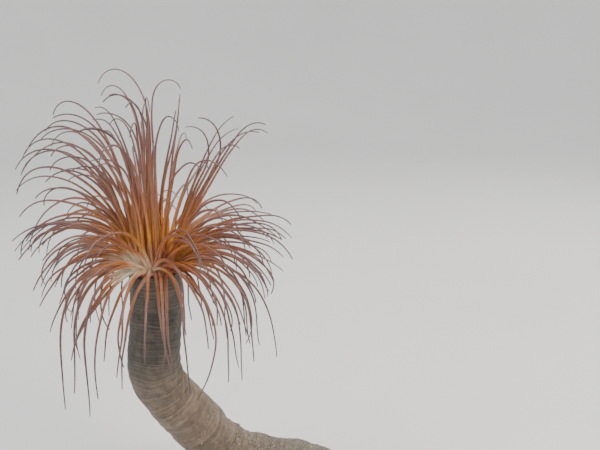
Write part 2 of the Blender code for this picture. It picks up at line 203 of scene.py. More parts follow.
PALE_AT = (220.0, 46.0)  # middle and width of where the roots are palest and thickest
RUDDY_AT = (-62.0, 44.0)  # and where they are red-brown
PALE_RISING = 0.35  # how pale the rising ones are
PALE_LEAST = 0.05
PALE_THICKER = 0.18
SHORT_AT = (214.0, 34.0)  # where the untraced tentacles are shorter, and by what share
SHORTER = 0.15
HANGING_FROM = 0.100  # tentacles longer than this that hang are thinner and darker
HANGING_SLOPE = -60.0
HANGING_R = 0.82
HANGING_TONE = 1.4

# A marginal tentacle that the photo shows: the angle of its root round the mouth, its heading, its
# length, and its slope above level at the five shares of the length in SLOPE_AT
Arch = namedtuple("Arch", "root heading length slopes")
SHOWN = [Arch(*row) for row in (
    # the upright brush
    (100, 150, 0.182, (88, 93, 89, 44, -48)),
    (80, 30, 0.160, (93, 90, 92, 80, -35)),
    (96, 150, 0.155, (84, 92, 92, 45, -30)),
    (115, 140, 0.130, (84, 82, 82, 55, -32)),
    (78, 55, 0.130, (88, 84, 66, 66, 78)),
    (70, 60, 0.125, (83, 80, 72, 72, 80)),
    (88, 70, 0.120, (82, 80, 66, 56, 52)),
    # up to the left
    (135, 140, 0.190, (72, 70, 42, 4, -40)),
    (140, 150, 0.187, (80, 57, 31, -21, -50)),
    (150, 160, 0.158, (82, 78, 52, 12, -38)),
    (158, 165, 0.160, (76, 62, 38, -6, -50)),
    (148, 150, 0.167, (66, 54, 22, -20, -55)),
    (122, 135, 0.148, (86, 74, 62, 35, -8)),
    (165, 170, 0.128, (76, 74, 64, 15, -42)),
    (175, 175, 0.110, (80, 74, 56, 4, -24)),
    # arcs to the left
    (168, 165, 0.133, (72, 46, 24, -8, -42)),
    (178, 175, 0.125, (74, 22, -15, -36, -50)),
    (170, 150, 0.165, (68, 16, -24, -48, -68)),
    (186, 185, 0.110, (72, 32, -10, -35, -48)),
    (192, 190, 0.100, (74, 30, -14, -34, -50)),
    (200, 195, 0.100, (64, 10, -36, -50, -60)),
    (207, 205, 0.092, (50, -4, -38, -52, -62)),
    (215, 212, 0.088, (24, -22, -44, -58, -70)),
    (226, 222, 0.085, (-10, -42, -54, -64, -72)),
    (230, 226, 0.072, (-18, -32, -46, -58, -64)),
    # up to the right
    (42, 40, 0.140, (64, 54, 53, 46, -10)),
    (36, 35, 0.140, (63, 56, 52, 40, -25)),
    (48, 45, 0.136, (64, 52, 46, 110, 165)),
    (52, 50, 0.132, (68, 60, 56, 50, 20)),
    # arcs to the right
    (25, 25, 0.095, (62, 32, 8, -10, -18)),
    (14, 15, 0.095, (50, 20, -8, -20, -34)),
    (10, 10, 0.080, (66, 38, -2, -48, -64)),
    (2, 0, 0.080, (56, 20, 0, -10, -22)),
    (-8, -10, 0.080, (56, 8, -20, -32, -42)),
    (-20, -20, 0.085, (20, -16, -42, -66, -77)),
    (-28, -25, 0.075, (8, -18, -48, -66, -70)),
    (-36, -35, 0.070, (0, -46, -68, -82, -84)),
    (-44, -45, 0.062, (0, -25, -38, -64, -74)),
    # hanging in front of the tube
    (-54, -80, 0.082, (-30, -70, -84, -88, -90)),
    (-84, -118, 0.094, (-25, -60, -76, -80, -84)),
    (-112, -140, 0.075, (-30, -62, -68, -74, -80)),
    # long ones hanging at both sides
    (203, 205, 0.150, (8, -62, -85, -90, -90)),
    (213, 215, 0.122, (0, -54, -84, -88, -86)),
    (222, 225, 0.135, (-6, -68, -88, -90, -90)),
    (234, 232, 0.112, (-12, -62, -80, -88, -90)),
    (-36, -35, 0.115, (2, -43, -80, -89, -90)),
    (-21, -20, 0.120, (-2, -45, -82, -90, -90)),
    (5, 5, 0.118, (-5, -42, -78, -87, -88)),
    (14, 15, 0.135, (-5, -34, -64, -80, -88)),
    (-45, -45, 0.140, (-5, -50, -100, -118, -125)),
)]

# The other marginal tentacles, in cycles from the inner upright one to the outer hanging one: how
# many in the full ring, their slopes, the most that those vary, and their length
Cycle = namedtuple("Cycle", "count slopes vary length")
CYCLES = (
    Cycle(30, (88, 85, 76, 42, -20), 8, (0.132, 0.168)),
    Cycle(36, (74, 66, 46, 14, -34), 8, (0.116, 0.150)),
    Cycle(46, (58, 32, 4, -22, -46), 9, (0.088, 0.118)),
    Cycle(46, (30, 0, -30, -54, -68), 9, (0.078, 0.108)),
    Cycle(38, (0, -40, -70, -84, -88), 8, (0.082, 0.124)),
)

# Labial tentacles: how many, root radius and rise of each ring
LABIAL_RINGS = ((16, 0.0060, 88.0), (22, 0.0076, 86.0), (27, 0.0092, 84.0), (31, 0.0108, 81.0))
LABIAL_TOP = 0.0062
LABIAL_LENGTH = (0.024, 0.044)
LABIAL_ROOT_R = 0.00095
LABIAL_TIP_R = 0.00030
LABIAL_SINK = 0.0012
LABIAL_FLARE = 0.0004
LABIAL_PLACE_DRAW = 0.25
LABIAL_LEAN_DRAW = (-5.0, 7.0)
LABIAL_BEND = (0.3, 1.5)  # share of its lean that a tentacle loses towards the tip
LABIAL_SWAY = 0.0010
LABIAL_SWAY_TURNS = (0.5, 1.1)
LABIAL_ROOT_DRAW = (0.9, 1.1)
LABIAL_SIDES = 10
LABIAL_ROWS = 40
LABIAL_EVEN_TO = 0.975  # rings are even so far, and then lie here
LABIAL_TIP_SHARES = (0.985, 0.995, 1.0)

# Skin of the body: radius and height of its stations from the column to the gullet, how
# slit-shaped its rings are, and how deep its folds are
BODY_STATIONS = (
    (0.0174, -0.0115, 0.0, 0.4), (0.0176, -0.0040, 0.0, 1.0), (0.0179, -0.0010, 0.0, 1.0),
    (0.0188, 0.0012, 0.0, 1.0), (0.0200, 0.0028, 0.0, 0.8), (0.0208, 0.0042, 0.0, 0.6),
    (0.0206, 0.0058, 0.0, 0.4), (0.0196, 0.0070, 0.0, 0.4), (0.0180, 0.0077, 0.0, 0.4),
    (0.0160, 0.0076, 0.0, 0.5), (0.0140, 0.0070, 0.0, 0.7), (0.0118, 0.0063, 0.0, 0.7),
    (0.0090, 0.0060, 0.0, 0.7), (0.0062, 0.0062, 0.05, 0.9), (0.0048, 0.0069, 0.15, 1.0),
    (0.0037, 0.0074, 0.30, 1.2), (0.0028, 0.0073, 0.50, 1.2), (0.0021, 0.0064, 0.68, 0.8),
    (0.0017, 0.0048, 0.80, 0.5), (0.0014, 0.0030, 0.86, 0.3))
BODY_ROWS = 110
BODY_SIDES = 192
BODY_SMOOTH_OVER = 5  # of the rows
COLUMN_ROWS = 0.4  # share of them outside the disc, where folds go out
DISC_SPREAD = 0.35  # share of a fold on the disc that goes out
FOLDS = 36.0
FOLD_DEPTH = 0.00022
FOLD_WAVE = Wave(1.2, 6, 5, (12.0, 30.0))
SKIN_WAVE = Wave(0.00012, 14, 20, (2.0, 6.0))
SLIT_LONGER = 1.1
SLIT_NARROWER = 0.85
MOUTH_ANGLE = 25.0

# Studio: the floor, its softboxes as (name, place, size, power, colour), and the camera
FLOOR_FLAT = 1.7  # radius of its flat part, of the sweep round it, and its height
FLOOR_SWEEP = 1.3
FLOOR_TOP = 2.6
FLOOR_SIDES = 96
FLOOR_DROP = 0.0002  # how far below the model it lies
LIGHT_AIM = (-0.04, 0.0, 0.16)
LIGHTS = (("key", (0.75, -0.75, 1.05), (0.7, 0.7), 17.0, (1.0, 0.96, 0.90)),
          ("fill", (-1.0, -0.8, 0.42), (1.0, 0.7), 9.0, (0.94, 0.96, 1.0)),
          ("top", (-0.1, 0.35, 1.35), (0.9, 0.9), 11.0, (1.0, 0.99, 0.97)),
          ("rim", (0.95, 0.75, 1.05), (0.6, 0.6), 8.0, (1.0, 0.98, 0.95)))
CAMERA_FROM_RIM = (0.113, -0.612, 0.2005)

MAP_GAP = 0.02  # margin of a cell on the bake map, and size of a form's ends
WHOLE_MAP = (0.0, 0.0, 1.0, 1.0)


def crown_axis():
    """Point of the crown's axis at the height of the tube's rim, from the column's box."""
    low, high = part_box("column")
    return np.array(((low.x + high.x) / 2.0, (low.y + high.y) / 2.0, high.z - COLUMN_TOP))


RIM = crown_axis()


class Surface:
    """Points, faces, bake map and point values of one piece while it is built."""

    def __init__(self):
        self.points = []
        self.faces = []
        self.corners = []
        self.values = {}
        self.count = 0

    def add(self, rings, cell, values):
        """Add a closed form of rings of points (rows, sides, 3); cell is its place on the map."""
        rows, sides = rings.shape[:2]
        u, v, width, height = cell
        numbers = self.count + np.arange(rows * sides).reshape(rows, sides)
        across = u + width * np.arange(sides + 1) / sides
        along = v + height * np.arange(rows) / (rows - 1)
        spots = np.stack(np.meshgrid(across, along), axis=-1)
        grid = np.stack((spots[:-1, :-1], spots[:-1, 1:], spots[1:, 1:], spots[1:, :-1]), axis=2)
        self.faces.extend(ring_faces(numbers))
        self.corners.append(grid.reshape(-1, 2))
        turn = PI2 * np.arange(sides) / sides
        spot = outward_at(turn)[:, :2] * min(width, height) * MAP_GAP
        self.faces.append(numbers[0][::-1].tolist())
        self.corners.append(spot[::-1] + (u + width / 2.0, v + height * MAP_GAP))
        self.faces.append(numbers[-1].tolist())
        self.corners.append(spot + (u + width / 2.0, v + height * (1.0 - MAP_GAP)))
        self.points.append(rings.reshape(-1, 3))
        for name, value in values.items():
            size = (3,) if name == "lie" else ()
            whole = np.broadcast_to(value, (rows, sides) + size)
            self.values.setdefault(name, []).append(whole.reshape((-1,) + size))
        self.count += rows * sides

    def make(self, name, material, slot, *nodes):
        """Make the piece an object that rides on the body and stands for CAD nodes."""
        mesh = bpy.data.meshes.new(name)
        mesh.from_pydata(np.concatenate(self.points).tolist(), [], self.faces)
        mesh.shade_smooth()
        layer = mesh.uv_layers.new(name="OFBake")
        layer.data.foreach_set("uv", np.concatenate(self.corners).astype(np.float32).ravel())
        for value_name, parts in self.values.items():
            whole = np.concatenate(parts).astype(np.float32)
            kind, field = ("FLOAT_VECTOR", "vector") if whole.ndim == 2 else ("FLOAT", "value")
            layer = mesh.attributes.new(value_name, kind, "POINT")
            layer.data.foreach_set(field, whole.ravel())
        mesh.materials.append(material)
        piece = new_object(name, mesh)
        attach(piece, BODY)
        if nodes:
            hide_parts(*nodes)


def ring_faces(numbers):
    """Four-cornered faces between rings of numbered points (rows, sides)."""
    ahead = np.roll(numbers, -1, axis=1)
    faces = np.stack((numbers[:-1], ahead[:-1], ahead[1:], numbers[1:]), axis=-1)
    return faces.reshape(-1, 4).tolist()


def new_object(name, data):
    made = bpy.data.objects.new(name, data)
    bpy.context.scene.collection.objects.link(made)
    return made


def map_cell(number, total):
    """Place on the bake map of one of many like forms, as (u, v, width, height)."""
    columns = math.ceil(math.sqrt(total))
    cell = 1.0 / columns
    size = (1.0 - 2.0 * MAP_GAP) * cell
    return cell * (number % columns + MAP_GAP), cell * (number // columns + MAP_GAP), size, size


def unit(rows):
    return rows / np.linalg.norm(rows, axis=-1, keepdims=True)


def bell(value, width):
    return np.exp(-(value / width) ** 2)


def either_way(draw, most):
    """Random number up to the most, above or below 0."""
    return draw.uniform(-most, most)


def smooth(values, over):
    """Running mean over an odd number of values."""
    return np.convolve(np.pad(values, over // 2, mode="edge"), np.ones(over) / over, mode="valid")


def off_angle(angle, middle, full=360.0):
    """Signed angle from a middle angle, half a full turn at most to each side."""
    return (angle - middle + full / 2.0) % full - full / 2.0


def near_angle(angle, middle, width):
    """From 1 at a middle angle down to 0, bell-shaped; angles in degrees."""
    return bell(off_angle(angle, middle), width)


def outward_at(angle):
    """Level directions at angles round the vertical."""
    return np.stack((np.cos(angle), np.sin(angle), 0.0 * angle), axis=-1)


def sweep(path, radii, sides):
    """Rings round a path, carried along it without twist; radii are per row."""
    ahead = unit(np.gradient(path, axis=0))
    side = np.empty_like(path)
    start = np.cross(ahead[0], UP)
    nearly_upright = np.linalg.norm(start) < 0.2
    if nearly_upright:
        start = np.cross(ahead[0], (0.0, 1.0, 0.0))
    side[0] = start / np.linalg.norm(start)
    for row in range(1, len(path)):
        bent = side[row - 1] - ahead[row] * (side[row - 1] @ ahead[row])
        side[row] = bent / np.linalg.norm(bent)
    other = np.cross(ahead, side)
    turn = PI2 * np.arange(sides) / sides
    out = side[:, None] * np.cos(turn)[None, :, None] + other[:, None] * np.sin(turn)[None, :, None]
    return path[:, None] + out * radii[:, None, None]


def ripples(draw, around, along, wave):
    """Smooth pseudo-random field of a wave over angles and distances, seamless round."""
    field = np.zeros(np.broadcast(around, along).shape)
    for _ in range(wave.count):
        turns = draw.randint(0, wave.most_around)
        length = draw.uniform(*wave.lengths)
        sign = draw.choice((-1.0, 1.0))
        field += np.sin(turns * around + sign * PI2 * along / length + draw.uniform(0.0, PI2))
    return wave.height * (field / math.sqrt(wave.count))


# Tube

def walk_route():
    """Centre line of the tube as rows of (x, y, z, pitch, heading) every ROUTE_STEP."""
    point = np.zeros(3)
    pitch = 0.0
    heading = math.radians(ROUTE_HEADING)
    rows = [(*point, pitch, heading)]
    for length, level, turn in DESCENT + LYING:
        steps = round(length / ROUTE_STEP)
        for _ in range(steps):
            pitch += math.radians(level) / steps
            heading += math.radians(turn) / steps
            ahead = math.sin(pitch) * outward_at(heading) - math.cos(pitch) * UP
            point = point + ahead * ROUTE_STEP
            rows.append((*point, pitch, heading))
    return np.array(rows)


TUBE_ROUTE = walk_route()


def tube_radius(along):
    """Outer radius of the tube at distances from its rim."""
    stations, radii = np.array(TUBE_RADII).T
    index = np.clip(np.searchsorted(stations, along) - 1, 0, len(stations) - 2)
    part = np.clip((along - stations[index]) / (stations[index + 1] - stations[index]), 0.0, 1.0)
    return radii[index] + (radii[index + 1] - radii[index]) * part * part * (3.0 - 2.0 * part)


def tube_place(along, turn, radius):
    """Points of the tube's skin at distances along it, angles round it and radii."""
    stations = np.arange(len(TUBE_ROUTE)) * ROUTE_STEP
    x, y, z, pitch, heading = (np.interp(along, stations, column) for column in TUBE_ROUTE.T)
    flat = outward_at(heading)
    across = np.cross(UP, flat)
    down = np.sin(pitch)[..., None] * flat - np.cos(pitch)[..., None] * UP
    outer = np.cross(across, down)
    out = across * np.cos(turn)[..., None] + outer * np.sin(turn)[..., None]
    return RIM + np.stack((x, y, z), axis=-1) + out * radius[..., None]


def growth_bands(draw, along):
    """Of the growth bands: depth of the grooves between them, how far each bulges, tone, and lip."""
    first, last = BANDS
    edges = [first]
    while edges[-1] < last:
        edges.append(edges[-1] + draw.uniform(*BAND_WIDTH))
    edges = np.array(edges)
    tones = np.array([draw.random() for _ in edges])
    depths = np.array([draw.uniform(*GROOVE_DRAW) for _ in edges])
    index = np.clip(np.searchsorted(edges, along) - 1, 0, len(edges) - 2)
    width = edges[index + 1] - edges[index]
    part = np.clip((along - edges[index]) / width, 0.0, 1.0)
    upper = depths[index] * bell(part * width, GROOVE_WIDTH)
    lower = depths[index + 1] * bell((1.0 - part) * width, GROOVE_WIDTH)
    lip = depths[index] * bell(part * width - LIP_PLACE * GROOVE_WIDTH, LIP_WIDTH * GROOVE_WIDTH)
    return np.maximum(upper, lower), 4.0 * part * (1.0 - part), tones[index], lip


def tube_relief(along, turn):
    """How far the felt stands out from the plain radius, and its point values."""
    draw = random.Random(12)
    wavy = along + ripples(draw, turn, along, BAND_WAVE)
    groove, bulge, tone, lip = growth_bands(draw, wavy)
    edge = SLEEVE_END + SLEEVE_TILT * np.sin(turn + SLEEVE_TURN)
    edge = edge + ripples(draw, turn, 0.0, SLEEVE_WAVE)
    sleeve = 1.0 / (1.0 + np.exp((along - edge) / SLEEVE_EDGE))
    low = 1.0 - sleeve
    relief = (BAND_BULGE[0] + BAND_BULGE[1] * low) * bulge * tone
    relief -= (GROOVE_DEPTH[0] + GROOVE_DEPTH[1] * low) * groove
    relief += LIP_HEIGHT * lip
    relief += SLEEVE_LEDGE * sleeve * np.clip((along - LEDGE_FROM) / LEDGE_OVER, 0.0, 1.0)
    share = SWELLING_SHARES[0] + SWELLING_SHARES[1] * low
    relief += ripples(draw, turn, along, SWELLINGS) * share
    relief += ripples(draw, turn, along, DENTS)
    relief += sleeve * ripples(draw, turn, along, STREAKS)
    shrivelled = np.clip((along - SHRIVEL_FROM) / (TUBE_END - SHRIVEL_FROM), 0.0, 1.0)
    relief -= shrivelled * np.abs(ripples(draw, turn, along, SHRIVEL))
    from_bend = off_angle(turn, CONCAVE, PI2)
    reach = bell(from_bend, CREASE_REACH)
    for crease in CREASES:
        off = along - crease.along - crease.lean * from_bend ** 2
        relief -= crease.depth * reach * bell(off, crease.width)
        beside = bell(off - RIDGE_PLACE * crease.width, RIDGE_WIDTH * crease.width)
        relief += RIDGE_HEIGHT * crease.depth * reach * beside
    tint = 1.0 / (1.0 + np.exp((along - edge + FADE_ABOVE) / SLEEVE_FADE))
    return relief, {"groove": groove, "band": tone, "sleeve": tint, "lip": lip}


def round_lie(along, turn, radius):
    """Place on a form for its patterns, seamless round it."""
    whole = np.broadcast_arrays(along, radius * np.cos(turn), radius * np.sin(turn))
    return np.stack(whole, axis=-1)


def build_tube():
    """One skin from inside the tube's mouth over its lip to the closed end."""
    turn = PI2 * np.arange(TUBE_SIDES) / TUBE_SIDES
    fine = np.arange(FIRST_RING, FINE_TO, FINE_STEP)
    coarse = np.arange(FINE_TO, TUBE_END - END_ROUNDING, COARSE_STEP)
    along, around = np.meshgrid(np.concatenate((fine, coarse)), turn, indexing="ij")
    ragged = ripples(random.Random(11), turn, 0.0, FRAY)
    along = along - ragged * np.clip(1.0 - along / FRAY_DEPTH, 0.0, 1.0)
    relief, values = tube_relief(along, around)
    outer = tube_place(along, around, tube_radius(along) + relief)

    angle = np.radians(END_TURN) * np.arange(1, END_RINGS + 1)[:, None] / END_RINGS
    end_along = TUBE_END - END_ROUNDING * (1.0 - np.sin(angle)) + 0.0 * turn
    end_radius = tube_radius(np.full_like(end_along, TUBE_END - END_ROUNDING)) + relief[-1]
    end_turn = np.broadcast_to(turn, end_along.shape)
    closed_end = tube_place(end_along, end_turn, end_radius * np.cos(angle))

    lip = np.array(MOUTH_LIP)
    lip_along = lip[:, :1] - ragged[None]
    lip_along[0] = lip[0, 0]
    inward = lip[:, 1:]
    lip_radius = tube_radius(np.zeros_like(lip_along)) - WALL * inward + relief[0] * (1.0 - inward)
    mouth = tube_place(lip_along, np.broadcast_to(turn, lip_along.shape), lip_radius)

    rings = np.concatenate((mouth, outer, closed_end))
    rings[..., 2] = np.maximum(rings[..., 2], 0.0)
    place = np.concatenate((lip_along, along, end_along))
    whole = {"lie": round_lie(place, turn, TUBE_LIE_R)[:, ::-1]}
    for name, value in values.items():
        first = np.broadcast_to(value[0], lip_along.shape)
        last = np.broadcast_to(value[-1], end_along.shape)
        whole[name] = np.concatenate((first, value, last))[:, ::-1]
    surface = Surface()
    surface.add(rings[:, ::-1], WHOLE_MAP, whole)
    nodes = [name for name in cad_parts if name.startswith("tube_")]
    surface.make("tube_skin", tube_material(), "tube_felt", *sorted(nodes))


def grain_axes(draw, normal):
    """Right-handed axes of a grain, the third one near the tube's normal."""
    third = unit(normal + np.array([either_way(draw, GRAIN_LEAN) for _ in range(3)]))
    first = unit(np.cross(third, [either_way(draw, 1.0) for _ in range(3)]))
    return first, np.cross(third, first), third


def build_grains():
    """Sand and bits of shell in patches on the lower and the lying part of the tube."""
    draw = random.Random(47)
    spots = [(draw.uniform(GRAINS_FROM, GRAINS_TO), draw.uniform(0.0, PI2), draw.random())
             for _ in range(GRAIN_TRIES)]
    along, turn, chance = np.array(spots).T
    patches = PATCH_MIDDLE + ripples(random.Random(48), turn, along, PATCHES)
    density = np.clip((along - GRAINS_FROM) / GRAINS_OVER, LEAST, 1.0) * np.clip(patches, LEAST, 1.0)
    kept = chance < density
    along, turn = along[kept], turn[kept]
    centres = tube_place(along, turn, tube_radius(along) + tube_relief(along, turn)[0])
    normals = unit(centres - tube_place(along, turn, 0.0 * along))
    clear = (normals[:, 2] > FACES_DOWN) & (centres[:, 2] > FLOOR_CLEAR)
    centres, normals = centres[clear], normals[clear]
    ring_turn = PI2 * np.arange(GRAIN_SIDES) / GRAIN_SIDES
    surface = Surface()
    for number, (centre, normal) in enumerate(zip(centres, normals)):
        shell = draw.random() < SHELL_SHARE
        size = draw.uniform(*(SHELL_SIZE if shell else GRAIN_SIZE))
        flat = SHELL_FLAT if shell else draw.uniform(*GRAIN_FLAT)
        first, second, third = grain_axes(draw, normal)
        rings = []
        for up, share in GRAIN_RINGS:
            radii = np.array([share * size * draw.uniform(*GRAIN_DRAW) for _ in range(GRAIN_SIDES)])
            heights = np.array([size * flat * (up + either_way(draw, UP_DRAW)) for _ in radii])
            rings.append(centre + first * (radii * np.cos(ring_turn))[:, None]
                         + second * (radii * np.sin(ring_turn))[:, None] + third * heights[:, None])
        surface.add(np.array(rings) + normal * size * flat * GRAIN_OUT, map_cell(number, len(centres)),
                    {"tone": draw.random(), "lie": centre})
    surface.make("tube_grains", grain_material(), "tube_sandy")


# Crown

def root_place(rise):
    """Radius and height on the disc's rounded margin where a tentacle with that rise grows."""
    rises, radii, heights = zip(*MARGIN_SHAPE)
    return np.interp(rise, rises, radii), np.interp(rise, rises, heights)


def arch_path(arch, draw, wander, curl):
    """Path of a marginal tentacle, with shares of its length and distances from its root."""
    share = np.concatenate((np.linspace(0.0, BLUNT_FROM, RINGS - len(TIP_SHARES)), TIP_SHARES))
    fine = np.linspace(0.0, 1.0, ARCH_STEPS)
    places = (0.0,) + SLOPE_AT + (1.0,)
    first = arch.slopes[0] + BEYOND * (arch.slopes[0] - arch.slopes[1])
    last = arch.slopes[-1] + BEYOND * (arch.slopes[-1] - arch.slopes[-2])
    slopes = np.interp(fine, places, (first,) + tuple(arch.slopes) + (last,))
    slope = np.radians(smooth(slopes, SMOOTH_OVER))
    heading = math.radians(arch.heading) + math.radians(either_way(draw, curl)) * fine ** 2
    root = math.radians(arch.root)
    root_r, root_z = root_place(arch.slopes[0])
    flat = outward_at(heading)
    across = np.cross(UP, flat)
    ahead = np.cos(slope)[:, None] * flat + np.sin(slope)[:, None] * UP
    normal = np.cos(slope)[:, None] * UP - np.sin(slope)[:, None] * flat
    step = (arch.length + SINK) / (len(fine) - 1)
    out = root_r - SINK * math.cos(slope[0])
    up = root_z - SINK * math.sin(slope[0])
    start = RIM + out * outward_at(root) + up * UP
    sideways = np.zeros_like(fine)
    upways = np.zeros_like(fine)
    for turns in WANDER_TURNS:
        size = wander / turns ** 1.6 * fine ** 1.2
        sideways += size * np.sin(PI2 * turns * fine + draw.uniform(0.0, PI2))
        upways += WANDER_UP * size * np.sin(PI2 * turns * fine + draw.uniform(0.0, PI2))
    path = start + (np.cumsum(ahead, axis=0) - ahead) * step
    path = path + sideways[:, None] * across + upways[:, None] * normal
    picked = np.stack([np.interp(share, fine, path[:, axis]) for axis in range(3)], axis=-1)
    return picked, share, share * (arch.length + SINK) - SINK


def rod_radii(share, run, root, tip, flare, draw):
    """Radii of a tentacle: a slow taper with faint swellings, a flared root and a blunt tip."""
    radii = tip + (root - tip) * (1.0 - share ** TAPER)
    swell = sum(np.sin(PI2 * run / draw.uniform(*lengths) + draw.uniform(0.0, PI2))
                for lengths in SWELL_LENGTHS)
    radii = radii * (1.0 + SWELL * swell)
    radii = radii + flare * np.exp(-np.maximum(run, 0.0) / FLARE_LENGTH)
    blunt = np.clip((share - BLUNT_FROM) / (1.0 - BLUNT_FROM), 0.0, 1.0)
    return radii * np.sqrt(np.maximum(1.0 - blunt ** 2, TIP_LEFT))


def add_strand(surface, path, radii, sides, share, run, cell, draw, **marks):
    """Add one tentacle with the values that its skin's patterns use."""
    turn = PI2 * np.arange(sides) / sides
    lie = round_lie(run[:, None], turn, ROOT_R) + (0.0, 0.0, draw.uniform(0.0, 0.4))
    values = {"lie": lie, "share": share[:, None], "tone": draw.random()}
    surface.add(sweep(path, radii, sides), cell, {**values, **marks})


def fill_in(shown, draw):
    """Marginal tentacles of all cycles, where the shown ones leave room."""
    left = list(shown)
    freely, more = SLOPE_DRAW
    arches = []
    for cycle in CYCLES:
        rising = cycle.slopes[0] > RISING
        arching = ARCHING < cycle.slopes[0] < RISING
        offset = draw.uniform(0.0, 360.0)
        for place in range(cycle.count):
            root = offset + 360.0 * (place + either_way(draw, PLACE_DRAW)) / cycle.count
            near = [arch for arch in left if abs(off_angle(arch.root, root)) < 360.0 / cycle.count
                    and abs(arch.slopes[0] - cycle.slopes[0]) < ALIKE]
            if near:
                left.remove(near[0])
                continue
            shift = either_way(draw, cycle.vary)
            slopes = [slope + shift + either_way(draw, cycle.vary * (freely + more * index))
                      for index, slope in enumerate(cycle.slopes)]
            heading = root + either_way(draw, HEADING_DRAW)
            length = draw.uniform(*cycle.length) * (1.0 - SHORTER * near_angle(root, *SHORT_AT))
            if draw.random() < HOOKED:
                slopes[-1] -= draw.uniform(*HOOK)
            off_front = off_angle(root, FRONT)
            front = max(0.0, 1.0 - abs(off_front) / PARTED_OVER)
            if not rising:
                length *= 1.0 - (1.0 - FRONT_SHARE) * min(1.0, FRONT_GAIN * front)
            if arching:
                heading += math.copysign(PARTED_BY * front, off_front)
            if rising:
                slopes = [slope + front * by for slope, by in zip(slopes, STEEPER)]
                full, none = LOW_OVER
                low = min(1.0, max(0.0, (none - abs(off_angle(root, LOW_AT))) / (none - full)))
                slopes = [slope - low * by for slope, by in zip(slopes, LOW_BY)]
                length *= 1.0 - (1.0 - LOW_SHARE) * low
            arches.append(Arch(root, heading, length, tuple(slopes)))
    return arches


def companions(draw):
    """A tentacle beside each of the bundled ones, nearly on the same path."""
    arches = []
    for arch in SHOWN:
        if any(first < arch.root < last for first, last in BUNDLED):
            shift = either_way(draw, BESIDE["shift"])
            slopes = tuple(slope + shift + either_way(draw, BESIDE["slope"]) for slope in arch.slopes)
            arches.append(Arch(arch.root + either_way(draw, BESIDE["root"]),
                               arch.heading + either_way(draw, BESIDE["heading"]),
                               arch.length * draw.uniform(*BESIDE_SHARE), slopes))
    return arches


def build_marginal_tentacles():
    draw = random.Random(23)
    sectors = {name: [] for name in SECTORS}
    others = fill_in(SHOWN, draw) + companions(draw)
    for number, arch in enumerate(SHOWN + others):
        index = int(((arch.root + SECTOR_ANGLE / 2.0) % 360.0) // SECTOR_ANGLE)
        sectors[SECTORS[index]].append((arch, number >= len(SHOWN)))
    skin = tentacle_material()
    for name, members in sectors.items():
        surface = Surface()
        for number, (arch, free) in enumerate(members):
            path, share, run = arch_path(arch, draw, WANDER[free], CURL[free])
            pale = near_angle(arch.root, *PALE_AT) * (PALE_RISING if arch.slopes[0] > RISING else 1.0)
            root_r = ROOT_R * (draw.uniform(*ROOT_DRAW) + PALE_THICKER * pale)
            marks = {}
            if arch.length > HANGING_FROM and arch.slopes[2] < HANGING_SLOPE:
                root_r *= HANGING_R
                marks["tone"] = HANGING_TONE
            radii = rod_radii(share, run, root_r, TIP_R * draw.uniform(*TIP_DRAW), FLARE, draw)
            add_strand(surface, path, radii, SIDES, share, run, map_cell(number, len(members)), draw,
                       pale=PALE_LEAST + (1.0 - PALE_LEAST) * pale,
                       ruddy=near_angle(arch.root, *RUDDY_AT), **marks)
        surface.make("tentacles_" + name, skin, "tentacle_skin", "marginal_tentacles_" + name)


def build_labial_tentacles():
    draw = random.Random(31)
    surface = Surface()
    total = sum(count for count, radius, rise in LABIAL_RINGS)
    number = 0
    evenly = np.linspace(0.0, LABIAL_EVEN_TO, LABIAL_ROWS - len(LABIAL_TIP_SHARES))
    share = np.concatenate((evenly, LABIAL_TIP_SHARES))
    for count, root_r, rise in LABIAL_RINGS:
        offset = draw.uniform(0.0, PI2)
        for place in range(count):
            angle = offset + PI2 * (place + either_way(draw, LABIAL_PLACE_DRAW)) / count
            outward = outward_at(angle)
            across = np.cross(UP, outward)
            length = draw.uniform(*LABIAL_LENGTH)
            lean = math.radians(90.0 - rise - draw.uniform(*LABIAL_LEAN_DRAW))
            tilt = lean * (1.0 - draw.uniform(*LABIAL_BEND) * share)
            step = np.diff(share, prepend=0.0) * length
            path = (RIM + outward * root_r + UP * (LABIAL_TOP - LABIAL_SINK)
                    + np.cumsum(np.sin(tilt) * step)[:, None] * outward
                    + np.cumsum(np.cos(tilt) * step)[:, None] * UP)
            turned = PI2 * draw.uniform(*LABIAL_SWAY_TURNS) * share + draw.uniform(0.0, PI2)
            sway = LABIAL_SWAY * share ** 1.3 * np.sin(turned)
            path = path + (sway - sway[0])[:, None] * across
            run = share * length - LABIAL_SINK
            radii = rod_radii(share, run, LABIAL_ROOT_R * draw.uniform(*LABIAL_ROOT_DRAW),
                              LABIAL_TIP_R, LABIAL_FLARE, draw)
            add_strand(surface, path, radii, LABIAL_SIDES, share, run, map_cell(number, total), draw,
                       pale=0.3, ruddy=0.0)
            number += 1
    surface.make("labial_tuft", labial_material(), "labial_skin", "labial_tentacles")


